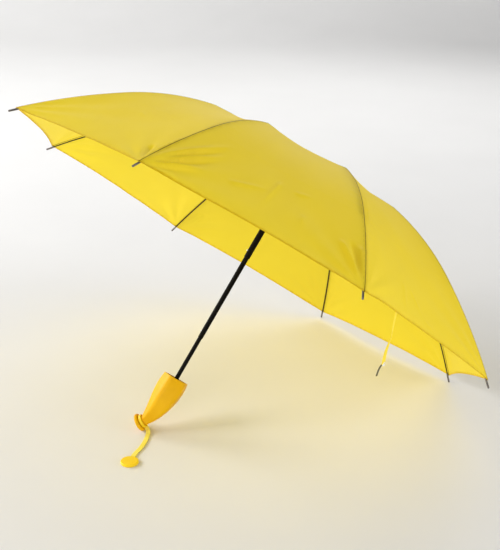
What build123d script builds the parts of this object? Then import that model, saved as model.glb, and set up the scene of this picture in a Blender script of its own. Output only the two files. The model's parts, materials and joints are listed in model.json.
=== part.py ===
"""Folding umbrella with a banana-stem handle, open and lying on its handle end and two rib tips.

Every piece is drawn in the umbrella's own frame: +Z runs up the shaft to the crown, and Z = 0 is
the level of the canopy's eight corners.  LAID then tips the whole umbrella over onto the ground,
with the origin on the ground under the middle of its bounding box.
"""

from build123d import *
from math import asin, atan2, cos, degrees, hypot, pi, radians, sin, tan
import os

os.makedirs("parts", exist_ok=True)

# Canopy: eight panels; a rib lies under each seam.  (radius, height) pairs are in a rib's plane.
RIBS = 8
RIB_STEP = 360 / RIBS
FIRST_RIB = RIB_STEP / 2
CANOPY_THICKNESS = 0.8
CANOPY_CROWN = (6.0, 195.0)
CANOPY_TOP_MIDDLE = (100.0, 193.8)
CANOPY_FIRST_KNEE = (192.0, 186.0)
CANOPY_MIDDLE_MIDDLE = (272.4, 157.0)
CANOPY_SECOND_KNEE = (346.0, 113.0)
CANOPY_OUTER_MIDDLE = (415.3, 59.2)
CANOPY_CORNER = (480.0, 0.0)

# Rib joints, in the same plane.
CROWN_HINGE = (10.0, 190.0)
FIRST_KNEE = (190.5, 181.6)
SECOND_KNEE = (343.4, 109.4)
RIB_END = (477.7, -2.4)
RUNNER_HINGE = (12.0, 138.2)
STRUT_PIVOT = (90.0, 186.6)
TOP_BOW = 3.0
MIDDLE_BOW = 7.0
OUTER_BOW = 3.5

# Rib sections.  Each link runs in its own plane beside the rib's plane, so that they fold flat.
CHANNEL_WIDTH = 3.2
CHANNEL_HEIGHT = 3.0
CHANNEL_WALL = 0.6
CHANNEL_START = 0.007
MIDDLE_SIDE = -3.6
STRUT_SIDE = 3.2
STRUT_WIDTH = 2.6
STRUT_HEIGHT = 2.4
STRUT_BAR_START = 1.8
EYE_RADIUS = 2.1
PIN_RADIUS = 0.8
HINGE_CLEARANCE = 0.06
RIVET_HEAD_RADIUS = 1.5
RIVET_HEAD_THICKNESS = 0.6
SIDE_GAP = 0.2
WIRE_RADIUS = 1.1
OUTER_EYE_WIDTH = 2.6
TIP_RADIUS = 1.7
TIP_LENGTH = 16.0
TIP_OVERHANG = 11.0

# Shaft: three tubes, the widest at the crown.
UPPER_RADIUS = 5.4
UPPER_BORE = 4.9
UPPER_TOP = 192.0
UPPER_END = -11.0
MIDDLE_RADIUS = 4.5
MIDDLE_BORE = 4.05
MIDDLE_TOP = 13.0
MIDDLE_END = -175.0
LOWER_RADIUS = 3.8
LOWER_BORE = 3.3
LOWER_TOP = -153.0
LOWER_END = -324.0
SOCKET_FLOOR = 1.5
LIP_LENGTH = 7.0
SLIDE_CLEARANCE = 0.05
COLLAR_LENGTH = 12.0
COLLAR_STOP_GAP = 0.1
BUTTON_RADIUS = 1.5
BUTTON_HEIGHT = 1.5
BUTTON_SHANK = 0.6
BUTTON_TAPER = 40
BUTTON_PLAY = 0.1
BUTTON_ABOVE_LIP = 5.5
BUTTON_AZIMUTH = 140.0
CUT_MARGIN = 1.0

# Crown hub, cap and runner.
HUB_RADIUS = 14.0
HUB_TOP = 194.1
HUB_BOTTOM = 186.5
SLOT_ROOT = 7.6
SLOT_CLEARANCE = 0.35
SLOT_REACH = 18.0
RING_WIRE_RADIUS = 0.8
CAP_RADIUS = 13.0
CAP_BOTTOM = 195.4
CAP_TOP = 205.5
CAP_PLUG_END = 184.0
RUNNER_FLANGE_RADIUS = 14.0
RUNNER_FLANGE_HALF = 3.6
RUNNER_SLEEVE_RADIUS = 7.6
RUNNER_LENGTH = 29.0
RUNNER_FOOT = 3.0
RUNNER_FOOT_RIM = 1.4
RUNNER_SLOT_ROOT = 9.5
CATCH_AZIMUTH = 0.0
CATCH_LENGTH = 14.0
CATCH_WIDTH = 3.0
CATCH_HEIGHT = 1.6
CATCH_NOSE = 2.0
CATCH_GAP = 0.4
CATCH_INSET = 0.3
CATCH_TAIL_DROP = 0.1
CATCH_PLAY = 0.3
CATCH_SIDE_PLAY = 0.2
CATCH_WINDOW_DEPTH = 4.0

# Handle: a hollow five-sided stem that bends before its end flange, towards one azimuth.
MOUTH = -258.0
HANDLE_SIDES = 5
HANDLE_WALL = 2.4
HANDLE_BEND = 110.0
HANDLE_EDGE = 201.0
HANDLE_STATIONS = (
    # height of the section's centre, shift along the bend, lean in degrees, width across
    (-258.0, 0.0, 0.0, 46.0),
    (-285.0, 0.6, 3.0, 49.0),
    (-311.0, 2.8, 9.0, 41.5),
    (-332.5, 6.8, 19.0, 30.5),
    (-349.0, 13.0, 36.0, 19.6),
)
HANDLE_CAVITY_STATIONS = 4
HANDLE_ROUNDING = 0.2
WIDTH_OVER_CORNER = 1.84
ROUNDING_LOSS = 0.12
MOUTH_RECESS = 4.0
PLATE_THICKNESS = 4.0
PLATE_BLANK = 80.0
SOCKET_RADIUS = 7.0
STEM_RADIUS = 9.0
STEM_LENGTH = 11.0
STEM_OVERLAP = 4.0
FLANGE_RADIUS = 16.5
FLANGE_HALF = 3.0
RIM_FLAT = 0.01
STRAP_RING_ALONG = 6.3
STRAP_RING_THICKNESS = 3.2
STRAP_RING_WIDTH = 5.4
STRAP_RING_ROUNDING = 1.2

# The lie angle is found by halving between these limits, in degrees.
LIE_LIMITS = (40.0, 65.0)
LIE_HALVINGS = 48

# Wrist strap and its disc, and the closing strap, in the laid frame.
CORNER_SHARE = 0.45
STRAP_DIAMETER = 3.2
STRAP_ROUTE = (
    (-214.6, 11.0, 8.7),
    (-217.2, -0.6, 5.6),
    (-221.7, -7.3, 2.6),
    (-232.7, -17.9, 1.8),
    (-244.4, -28.5, 1.8),
    (-259.8, -39.5, 1.8),
    (-273.9, -46.2, 1.8),
    (-286.2, -55.8, 1.8),
)
DISC_CENTRE = (-297.2, -65.0)
DISC_RADIUS = 15.5
DISC_THICKNESS = 5.0
DISC_EDGE = 1.6
TIE_RIBS = (6, 7)
TIE_SHARE = 0.24
TIE_START = (-2.0, 2.0, -1.5)
TIE_END = (-11.2, 8.8, -84.0)
TIE_WIDTH = 12.0
TIE_THICKNESS = 1.4
TIE_TAB_LENGTH = 22.0
TIE_TAB_WIDTH = 6.0
TIE_ACROSS = (1, 0, -0.11)

# The handle is drawn with its bend along +X, then turned to the bend's azimuth.
BEND_TURN = Rot(0, 0, HANDLE_BEND)
neck_height, neck_shift, neck_lean = HANDLE_STATIONS[-1][:3]
stem_lean = radians(neck_lean)
stem_down = Vector(sin(stem_lean), 0, -cos(stem_lean))
flange_centre = Vector(neck_shift, 0, neck_height) + stem_down * STEM_LENGTH
rim_reach = FLANGE_RADIUS - FLANGE_HALF


def arc_middle(start, end, bow):
    """Middle point of an arc that rises by bow over the chord from start to end."""
    dx, dz = end[0] - start[0], end[1] - start[1]
    chord = hypot(dx, dz)
    return ((start[0] + end[0]) / 2 - dz / chord * bow, (start[1] + end[1]) / 2 + dx / chord * bow)


def end_slope(start, end, bow):
    """Slope of such an arc at its end, in radians."""
    dx, dz = end[0] - start[0], end[1] - start[1]
    return atan2(dz, dx) - 2 * atan2(2 * bow, hypot(dx, dz))


tip_slope = end_slope(SECOND_KNEE, RIB_END, OUTER_BOW)
tip_end = (RIB_END[0] + TIP_OVERHANG * cos(tip_slope), RIB_END[1] + TIP_OVERHANG * sin(tip_slope))


def turned_vector(vector):
    """A vector of the handle's drawing, turned to the bend's azimuth."""
    return vector.rotate(Axis.Z, HANDLE_BEND)


def flange_foot(angle):
    """Height of the flange's lowest point when the shaft stands at this angle to the ground."""
    upward = Vector(-cos(angle), 0, sin(angle))
    along = turned_vector(stem_down).dot(upward)
    return turned_vector(flange_centre).dot(upward) - rim_reach * (1 - along**2) ** 0.5 - FLANGE_HALF


def tip_foot(angle):
    """Height of the two lowest rib tips at the same angle."""
    return sin(angle) * tip_end[1] - cos(angle) * tip_end[0] * cos(radians(FIRST_RIB)) - TIP_RADIUS


# How the umbrella lies: the ground touches the flange's rim and the ends of the two lowest ribs.
low_lie, high_lie = radians(LIE_LIMITS[0]), radians(LIE_LIMITS[1])
for _ in range(LIE_HALVINGS):
    lie = (low_lie + high_lie) / 2
    if flange_foot(lie) > tip_foot(lie):
        low_lie = lie
    else:
        high_lie = lie
middle_x = tip_end[1] * cos(lie)
LAID = Location((-middle_x, 0, -tip_foot(lie))) * Location((0, 0, 0), (0, 90 - degrees(lie), 0))


def keep(part, label, laid=False):
    """Label a finished piece, lay it down with the umbrella unless it lies there already."""
    placed = part if laid else LAID * part
    placed.label = label
    export_step(placed, f"parts/{label}.step")


def keep_each_rib(part, stem):
    """One copy of a rib piece for each rib."""
    for number in range(RIBS):
        turned = Rot(0, 0, FIRST_RIB + number * RIB_STEP) * part
        keep(turned, f"{stem}_{number + 1}")


def beside(side):
    """The rib's plane, moved sideways."""
    return Plane.XZ.offset(-side)


# ---------------------------------------------------------------- canopy
def canopy_arcs(drop):
    """The three arcs down a rib, lowered by drop."""
    corners = (
        (CANOPY_CROWN, CANOPY_TOP_MIDDLE, CANOPY_FIRST_KNEE),
        (CANOPY_FIRST_KNEE, CANOPY_MIDDLE_MIDDLE, CANOPY_SECOND_KNEE),
        (CANOPY_SECOND_KNEE, CANOPY_OUTER_MIDDLE, CANOPY_CORNER),
    )
    return [[(radius, height - drop) for radius, height in arc] for arc in corners]


with BuildPart() as gore:
    for azimuth in (0, RIB_STEP):
        outer_face, inner_face = canopy_arcs(0), canopy_arcs(CANOPY_THICKNESS)
        with BuildSketch(Plane.XZ.rotated((0, 0, azimuth))):
            with BuildLine():
                for start, middle, end in outer_face:
                    ThreePointArc(start, middle, end)
                Line(outer_face[-1][-1], inner_face[-1][-1])
                for start, middle, end in reversed(inner_face):
                    ThreePointArc(end, middle, start)
                Line(inner_face[0][0], outer_face[0][0])
            make_face()
    loft(ruled=True)

canopy_panels = [Rot(0, 0, FIRST_RIB + number * RIB_STEP) * gore.part for number in range(RIBS)]
keep(Compound(children=canopy_panels), "canopy")

# ---------------------------------------------------------------- ribs


def channel(start, end, bow, side):
    """A bowed U channel, open downwards, that runs between two joints and into their eyes."""
    middle = arc_middle(start, end, bow)
    with BuildPart() as piece:
        with BuildLine(beside(side)) as path:
            ThreePointArc(start, middle, end)
        trimmed = path.wires()[0].trim(CHANNEL_START, 1 - CHANNEL_START)
        section = Plane(origin=trimmed @ 0, x_dir=(0, 1, 0), z_dir=trimmed % 0)
        with BuildSketch(section):
            Rectangle(CHANNEL_WIDTH, CHANNEL_HEIGHT)
            with Locations((0, CHANNEL_WALL if section.y_dir.Z < 0 else -CHANNEL_WALL)):
                Rectangle(CHANNEL_WIDTH - 2 * CHANNEL_WALL, CHANNEL_HEIGHT, mode=Mode.SUBTRACT)
        sweep(path=trimmed)
    return piece.part


def eye(centre, side, width, hole):
    """A flat round eye across the channel's end, with its hinge hole."""
    with BuildPart() as piece:
        with BuildSketch(beside(side)):
            with Locations(centre):
                Circle(EYE_RADIUS)
                if hole:
                    Circle(hole, mode=Mode.SUBTRACT)
        extrude(amount=width / 2, both=True)
    return piece.part


def rivet(centre, near, far):
    """A hinge pin from one side position to another, with a head at the far end."""
    with BuildPart() as piece:
        with BuildSketch(beside(near)):
            with Locations(centre):
                Circle(PIN_RADIUS)
        extrude(amount=near - far)
        with BuildSketch(beside(far)):
            with Locations(centre):
                Circle(RIVET_HEAD_RADIUS)
        head_way = 1 if far < near else -1
        extrude(amount=head_way * RIVET_HEAD_THICKNESS)
    return piece.part


pin_hole = PIN_RADIUS + HINGE_CLEARANCE
ring_hole = RING_WIRE_RADIUS + HINGE_CLEARANCE
far_side = MIDDLE_SIDE - CHANNEL_WIDTH / 2 - SIDE_GAP
near_side = CHANNEL_WIDTH / 2 - CHANNEL_WALL

with BuildPart() as top_rib:
    add(channel(CROWN_HINGE, FIRST_KNEE, TOP_BOW, 0))
    add(eye(CROWN_HINGE, 0, CHANNEL_WIDTH, ring_hole))
    add(eye(FIRST_KNEE, 0, CHANNEL_WIDTH, 0))
    add(rivet(FIRST_KNEE, near_side, far_side))
keep_each_rib(top_rib.part, "top_rib")

with BuildPart() as middle_rib:
    add(channel(FIRST_KNEE, SECOND_KNEE, MIDDLE_BOW, MIDDLE_SIDE))
    add(eye(FIRST_KNEE, MIDDLE_SIDE, CHANNEL_WIDTH, pin_hole))
    add(eye(SECOND_KNEE, MIDDLE_SIDE, CHANNEL_WIDTH, 0))
    add(rivet(SECOND_KNEE, MIDDLE_SIDE, CHANNEL_WIDTH / 2 + SIDE_GAP))
keep_each_rib(middle_rib.part, "middle_rib")

outer_middle = arc_middle(SECOND_KNEE, RIB_END, OUTER_BOW)
with BuildPart() as outer_rib:
    with BuildLine(Plane.XZ) as outer_line:
        ThreePointArc(SECOND_KNEE, outer_middle, RIB_END)
    outer_path = outer_line.wires()[0].trim(CHANNEL_START, 1.0)
    with BuildSketch(Plane(origin=outer_path @ 0, z_dir=outer_path % 0)):
        Circle(WIRE_RADIUS)
    sweep(path=outer_path)
    add(eye(SECOND_KNEE, 0, OUTER_EYE_WIDTH, pin_hole))
keep_each_rib(outer_rib.part, "outer_rib")

tip_dir = Vector(cos(tip_slope), 0, sin(tip_slope))
tip_end_point = Vector(tip_end[0], 0, tip_end[1])
tip_start = tip_end_point - tip_dir * TIP_LENGTH
with BuildPart() as rib_tip:
    tip_plane = Plane(origin=tip_start, x_dir=(0, 1, 0), z_dir=tip_dir)
    with BuildSketch(tip_plane):
        Circle(TIP_RADIUS)
    extrude(amount=TIP_LENGTH)
    with Locations(tip_end_point):
        Sphere(TIP_RADIUS)
    with BuildSketch(tip_plane):
        Circle(WIRE_RADIUS)
    extrude(amount=TIP_LENGTH - TIP_OVERHANG, mode=Mode.SUBTRACT)
keep_each_rib(rib_tip.part, "rib_tip")

with BuildPart() as strut:
    strut_dir = Vector(STRUT_PIVOT[0] - RUNNER_HINGE[0], 0, STRUT_PIVOT[1] - RUNNER_HINGE[1])
    strut_length = strut_dir.length
    strut_start = Vector(RUNNER_HINGE[0], STRUT_SIDE, RUNNER_HINGE[1])
    strut_plane = Plane(origin=strut_start, x_dir=(0, 1, 0), z_dir=strut_dir)
    with BuildSketch(strut_plane.offset(STRUT_BAR_START)):
        Rectangle(STRUT_WIDTH, STRUT_HEIGHT)
    extrude(amount=strut_length - 2 * STRUT_BAR_START)
    add(eye(RUNNER_HINGE, STRUT_SIDE, STRUT_WIDTH, ring_hole))
    add(eye(STRUT_PIVOT, STRUT_SIDE, STRUT_WIDTH, 0))
    add(rivet(STRUT_PIVOT, STRUT_SIDE, STRUT_SIDE + STRUT_WIDTH / 2))
keep_each_rib(strut.part, "stretcher")

# ---------------------------------------------------------------- crown and runner


def ring_wire(radius, height, thickness):
    """An eight-sided wire ring whose straight sides are the hinge pins of the eight links."""
    corner = radius / cos(pi / RIBS)
    with BuildPart() as piece:
        for number in range(RIBS):
            start, end = number * RIB_STEP, (number + 1) * RIB_STEP
            first = Vector(corner * cos(radians(start)), corner * sin(radians(start)), height)
            last = Vector(corner * cos(radians(end)), corner * sin(radians(end)), height)
            with BuildSketch(Plane(origin=first, z_dir=last - first)):
                Circle(thickness)
            extrude(amount=(last - first).length)
            with Locations(first):
                Sphere(thickness)
    return piece.part


def slots(radius, side, width, low, high):
    """Eight radial slots, each beside its rib's plane."""
    with BuildPart() as piece:
        with BuildSketch(Plane.XY.offset(low)):
            for number in range(RIBS):
                turn = FIRST_RIB + number * RIB_STEP
                with Locations(Location((0, 0, 0), (0, 0, turn))):
                    with Locations((radius + SLOT_REACH / 2, side)):
                        Rectangle(SLOT_REACH, width)
        extrude(amount=high - low)
    return piece.part


crown_wire = ring_wire(CROWN_HINGE[0], CROWN_HINGE[1], RING_WIRE_RADIUS)
keep(crown_wire, "crown_wire")
with BuildPart() as crown_hub:
    with BuildSketch(Plane.XY.offset(HUB_BOTTOM)):
        Circle(HUB_RADIUS)
        Circle(UPPER_RADIUS, mode=Mode.SUBTRACT)
    extrude(amount=HUB_TOP - HUB_BOTTOM)
    slot_width = CHANNEL_WIDTH + 2 * SLOT_CLEARANCE
    slot_top = CROWN_HINGE[1] + EYE_RADIUS + SLOT_CLEARANCE
    add(slots(SLOT_ROOT, 0, slot_width, HUB_BOTTOM - CUT_MARGIN, slot_top), mode=Mode.SUBTRACT)
    add(crown_wire, mode=Mode.SUBTRACT)
keep(crown_hub.part, "crown_hub")

# the cap's dome is part of a ball whose centre lies on the shaft's axis
cap_rise = CAP_TOP - CAP_BOTTOM
dome_radius = (CAP_RADIUS**2 + cap_rise**2) / (2 * cap_rise)
dome_centre = CAP_TOP - dome_radius
dome_middle = (pi / 2 + asin((CAP_BOTTOM - dome_centre) / dome_radius)) / 2
with BuildPart() as crown_cap:
    with BuildSketch(Plane.XZ):
        with BuildLine():
            Polyline(
                (0, CAP_TOP), (0, CAP_PLUG_END), (UPPER_BORE, CAP_PLUG_END),
                (UPPER_BORE, CAP_BOTTOM), (CAP_RADIUS, CAP_BOTTOM),
            )
            ThreePointArc(
                (CAP_RADIUS, CAP_BOTTOM),
                (dome_radius * cos(dome_middle), dome_centre + dome_radius * sin(dome_middle)),
                (0, CAP_TOP),
            )
        make_face()
    revolve(axis=Axis.Z)
keep(crown_cap.part, "crown_cap")

runner_top = RUNNER_HINGE[1] + RUNNER_FLANGE_HALF
runner_bottom = RUNNER_HINGE[1] - RUNNER_LENGTH
runner_wire = ring_wire(RUNNER_HINGE[0], RUNNER_HINGE[1], RING_WIRE_RADIUS)
keep(runner_wire, "runner_wire")
with BuildPart() as runner:
    with BuildSketch(Plane.XY.offset(RUNNER_HINGE[1] - RUNNER_FLANGE_HALF)):
        Circle(RUNNER_FLANGE_RADIUS)
    extrude(amount=2 * RUNNER_FLANGE_HALF)
    with BuildSketch(Plane.XY.offset(runner_bottom)):
        Circle(RUNNER_SLEEVE_RADIUS)
    extrude(amount=RUNNER_LENGTH)
    with BuildSketch(Plane.XY.offset(runner_bottom)):
        Circle(RUNNER_SLEEVE_RADIUS + RUNNER_FOOT_RIM)
    extrude(amount=RUNNER_FOOT)
    with BuildSketch(Plane.XY.offset(runner_bottom)):
        Circle(UPPER_RADIUS + SLIDE_CLEARANCE)
    extrude(amount=RUNNER_LENGTH + RUNNER_FLANGE_HALF, mode=Mode.SUBTRACT)
    strut_slot = STRUT_WIDTH + 2 * SLOT_CLEARANCE
    slot_low = RUNNER_HINGE[1] - EYE_RADIUS - SLOT_CLEARANCE
    slot_high = runner_top + CUT_MARGIN
    add(slots(RUNNER_SLOT_ROOT, STRUT_SIDE, strut_slot, slot_low, slot_high), mode=Mode.SUBTRACT)
    add(runner_wire, mode=Mode.SUBTRACT)
keep(runner.part, "runner")

# ---------------------------------------------------------------- shaft


def tube(top, end, radius, bore, lip_bore):
    """A drawn tube with an inward lip at its lower end, which stops the next tube's collar."""
    with BuildPart() as piece:
        with BuildSketch(Plane.XY.offset(end)):
            Circle(radius)
            Circle(lip_bore, mode=Mode.SUBTRACT)
        extrude(amount=LIP_LENGTH)
        with BuildSketch(Plane.XY.offset(end + LIP_LENGTH)):
            Circle(radius)
            Circle(bore, mode=Mode.SUBTRACT)
        extrude(amount=top - end - LIP_LENGTH)
    return piece.part


def spring_button(height, inner, outer):
    """A domed detent button that stands out through the outer tube's hole."""
    with BuildPart() as piece:
        around = Plane(
            origin=(0, 0, height), x_dir=(0, 0, 1),
            z_dir=(cos(radians(BUTTON_AZIMUTH)), sin(radians(BUTTON_AZIMUTH)), 0),
        )
        with BuildSketch(around.offset(inner)):
            Circle(BUTTON_RADIUS)
        extrude(amount=outer + BUTTON_SHANK - inner)
        with BuildSketch(around.offset(outer + BUTTON_SHANK)):
            Circle(BUTTON_RADIUS)
        extrude(amount=BUTTON_HEIGHT - BUTTON_SHANK, taper=BUTTON_TAPER)
    return piece.part


def button_hole(height, reach):
    """The clearance hole for a detent button, through one wall only."""
    with BuildPart() as piece:
        around = Plane(
            origin=(0, 0, height), x_dir=(0, 0, 1),
            z_dir=(cos(radians(BUTTON_AZIMUTH)), sin(radians(BUTTON_AZIMUTH)), 0),
        )
        with BuildSketch(around.offset(CUT_MARGIN)):
            Circle(BUTTON_RADIUS + BUTTON_PLAY)
        extrude(amount=reach)
    return piece.part


middle_lip = MIDDLE_RADIUS + SLIDE_CLEARANCE
lower_lip = LOWER_RADIUS + SLIDE_CLEARANCE
middle_collar_bottom = UPPER_END + LIP_LENGTH + COLLAR_STOP_GAP
lower_collar_bottom = MIDDLE_END + LIP_LENGTH + COLLAR_STOP_GAP
middle_button_height = UPPER_END + LIP_LENGTH + BUTTON_ABOVE_LIP
lower_button_height = MIDDLE_END + LIP_LENGTH + BUTTON_ABOVE_LIP

# the catch that holds the runner up: a wedge on a leaf, in a window of the upper tube
catch_top = runner_bottom - CATCH_GAP
catch_bottom = catch_top - CATCH_LENGTH
with BuildPart() as top_catch:
    with BuildSketch(Plane.XZ.rotated((0, 0, CATCH_AZIMUTH))):
        with BuildLine():
            Polyline(
                (UPPER_BORE - CATCH_INSET, catch_bottom),
                (UPPER_BORE - CATCH_INSET, catch_top),
                (UPPER_RADIUS + CATCH_HEIGHT, catch_top),
                (UPPER_RADIUS + CATCH_HEIGHT, catch_top - CATCH_NOSE),
                (UPPER_RADIUS - CATCH_TAIL_DROP, catch_bottom),
                close=True,
            )
        make_face()
    extrude(amount=CATCH_WIDTH / 2, both=True)
keep(top_catch.part, "top_catch")

with BuildPart() as upper_tube:
    add(tube(UPPER_TOP, UPPER_END, UPPER_RADIUS, UPPER_BORE, middle_lip))
    add(button_hole(middle_button_height, UPPER_RADIUS + CUT_MARGIN), mode=Mode.SUBTRACT)
    with BuildSketch(Plane.XZ.rotated((0, 0, CATCH_AZIMUTH))):
        with Locations((UPPER_RADIUS, catch_top - CATCH_LENGTH / 2)):
            Rectangle(CATCH_WINDOW_DEPTH, CATCH_LENGTH + 2 * CATCH_PLAY)
    extrude(amount=CATCH_WIDTH / 2 + CATCH_SIDE_PLAY, both=True, mode=Mode.SUBTRACT)
keep(upper_tube.part, "upper_tube")

with BuildPart() as middle_tube:
    add(tube(MIDDLE_TOP, MIDDLE_END, MIDDLE_RADIUS, MIDDLE_BORE, lower_lip))
    with BuildSketch(Plane.XY.offset(middle_collar_bottom)):
        Circle(UPPER_BORE - SLIDE_CLEARANCE)
        Circle(MIDDLE_BORE, mode=Mode.SUBTRACT)
    extrude(amount=COLLAR_LENGTH)
    add(button_hole(lower_button_height, MIDDLE_RADIUS + CUT_MARGIN), mode=Mode.SUBTRACT)
    add(button_hole(middle_button_height, UPPER_RADIUS), mode=Mode.SUBTRACT)
keep(middle_tube.part, "middle_tube")

with BuildPart() as lower_tube:
    with BuildSketch(Plane.XY.offset(LOWER_END)):
        Circle(LOWER_RADIUS)
        Circle(LOWER_BORE, mode=Mode.SUBTRACT)
    extrude(amount=LOWER_TOP - LOWER_END)
    with BuildSketch(Plane.XY.offset(lower_collar_bottom)):
        Circle(MIDDLE_BORE - SLIDE_CLEARANCE)
        Circle(LOWER_BORE, mode=Mode.SUBTRACT)
    extrude(amount=COLLAR_LENGTH)
    add(button_hole(lower_button_height, MIDDLE_RADIUS), mode=Mode.SUBTRACT)
keep(lower_tube.part, "lower_tube")

keep(spring_button(middle_button_height, MIDDLE_BORE, UPPER_RADIUS), "middle_button")
keep(spring_button(lower_button_height, LOWER_BORE, MIDDLE_RADIUS), "lower_button")

# ---------------------------------------------------------------- handle


def stem_body(stations, inset):
    """The handle's lofted body, inset all round."""
    with BuildPart() as piece:
        for height, shift, lean, width in stations:
            tilt = radians(lean)
            across = Plane(
                origin=(shift, 0, height),
                x_dir=(cos(tilt), 0, sin(tilt)),
                z_dir=(-sin(tilt), 0, cos(tilt)),
            )
            with BuildSketch(across) as outline:
                inner_width = width - 2 * inset
                rounding = inner_width * HANDLE_ROUNDING
                corner = inner_width / WIDTH_OVER_CORNER + ROUNDING_LOSS * rounding
                RegularPolygon(corner, HANDLE_SIDES, rotation=HANDLE_EDGE - HANDLE_BEND)
                fillet(outline.vertices(), rounding)
        loft()
    return piece.part


stem_plane = Plane(
    origin=flange_centre, x_dir=(cos(stem_lean), 0, sin(stem_lean)), z_dir=-stem_down,
)
cavity = stem_body(HANDLE_STATIONS[:HANDLE_CAVITY_STATIONS], HANDLE_WALL)
with BuildPart() as handle_shell:
    add(stem_body(HANDLE_STATIONS, 0))
    with BuildSketch(stem_plane):
        Circle(STEM_RADIUS)
    extrude(amount=STEM_LENGTH + STEM_OVERLAP)
    with BuildSketch(stem_plane.offset(-FLANGE_HALF)):
        Circle(FLANGE_RADIUS)
    extrude(amount=2 * FLANGE_HALF)
    rims = handle_shell.edges().filter_by(GeomType.CIRCLE).filter_by(
        lambda rim: abs(rim.radius - FLANGE_RADIUS) < RIM_FLAT
    )
    fillet(rims, FLANGE_HALF - RIM_FLAT)
    add(cavity, mode=Mode.SUBTRACT)
keep(BEND_TURN * handle_shell.part, "handle_shell")

plate_top = MOUTH - MOUTH_RECESS
with BuildPart() as handle_core:
    add(cavity)
    with BuildSketch(Plane.XY.offset(plate_top - PLATE_THICKNESS)):
        Rectangle(PLATE_BLANK, PLATE_BLANK)
    extrude(amount=PLATE_THICKNESS, mode=Mode.INTERSECT)
    with BuildSketch(Plane.XY.offset(LOWER_END - SOCKET_FLOOR)):
        Circle(SOCKET_RADIUS)
    extrude(amount=plate_top - LOWER_END + SOCKET_FLOOR)
    with BuildSketch(Plane.XY.offset(LOWER_END)):
        Circle(LOWER_RADIUS)
    extrude(amount=plate_top - LOWER_END + CUT_MARGIN, mode=Mode.SUBTRACT)
keep(BEND_TURN * handle_core.part, "handle_core")

ring_middle = flange_centre - stem_down * STRAP_RING_ALONG
ring_section = Plane(origin=ring_middle, x_dir=(cos(stem_lean), 0, sin(stem_lean)), z_dir=(0, -1, 0))
with BuildPart() as strap_ring:
    with BuildSketch(ring_section):
        with Locations((STEM_RADIUS + STRAP_RING_THICKNESS / 2, 0)):
            RectangleRounded(STRAP_RING_THICKNESS, STRAP_RING_WIDTH, STRAP_RING_ROUNDING)
    revolve(axis=Axis(tuple(ring_middle), tuple(stem_down)))
keep(BEND_TURN * strap_ring.part, "strap_ring")

# ---------------------------------------------------------------- straps, in the laid frame


def corner_radii(points):
    """For each inner point, CORNER_SHARE of its shorter run over the tangent of half its turn."""
    radii = []
    for before, here, after in zip(points, points[1:], points[2:]):
        first = Vector(*here) - Vector(*before)
        second = Vector(*after) - Vector(*here)
        half_turn = radians(first.get_angle(second)) / 2
        radii.append(CORNER_SHARE * min(first.length, second.length) / tan(half_turn))
    return radii


strap_radii = corner_radii(STRAP_ROUTE)
print("wrist strap radii", [round(radius, 1) for radius in strap_radii])
with BuildPart() as wrist_strap:
    with BuildLine() as strap_line:
        FilletPolyline(*STRAP_ROUTE, radius=strap_radii)
    strap_path = strap_line.wires()[0]
    with BuildSketch(Plane(origin=strap_path @ 0, z_dir=strap_path % 0)):
        Circle(STRAP_DIAMETER / 2)
    sweep(path=strap_path)
tube_volume = pi * STRAP_DIAMETER**2 / 4 * strap_path.length
print("wrist strap length", round(strap_path.length, 1), "volume ratio",
      round(wrist_strap.part.volume / tube_volume, 4))
keep(wrist_strap.part, "wrist_strap", laid=True)

with BuildPart() as strap_disc:
    with BuildSketch(Plane.XY):
        with Locations(DISC_CENTRE):
            Circle(DISC_RADIUS)
    extrude(amount=DISC_THICKNESS)
    fillet(strap_disc.edges().filter_by(GeomType.CIRCLE), DISC_EDGE)
keep(strap_disc.part, "strap_disc", laid=True)

# the closing strap hangs from a point of the hem between two ribs' corners
corner_radius, corner_height = CANOPY_CORNER
near_corner, far_corner = [
    Vector(corner_radius, 0, corner_height).rotate(Axis.Z, FIRST_RIB + number * RIB_STEP)
    for number in (TIE_RIBS[0] - 1, TIE_RIBS[1] - 1)
]
hem_point = near_corner + (far_corner - near_corner) * TIE_SHARE
laid_hem = (LAID * Location(hem_point)).position
tie_top = laid_hem + Vector(*TIE_START)
tie_bottom = laid_hem + Vector(*TIE_END)
tie_down = (tie_bottom - tie_top).normalized()
with BuildPart() as closing_strap:
    with BuildSketch(Plane(origin=tie_top, x_dir=TIE_ACROSS, z_dir=tie_down)):
        Rectangle(TIE_WIDTH, TIE_THICKNESS)
    extrude(amount=(tie_bottom - tie_top).length)
keep(closing_strap.part, "closing_strap", laid=True)
with BuildPart() as strap_tab:
    with BuildSketch(Plane(origin=tie_bottom, x_dir=TIE_ACROSS, z_dir=tie_down)):
        Rectangle(TIE_TAB_WIDTH, TIE_THICKNESS)
    extrude(amount=TIE_TAB_LENGTH)
keep(strap_tab.part, "strap_tab", laid=True)

print("lie angle", round(degrees(lie), 3), "feet", round(flange_foot(lie), 4), round(tip_foot(lie), 4))
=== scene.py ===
import json
import math

import bmesh
import bpy
import numpy as np
from mathutils import Matrix, Vector, noise

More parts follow.
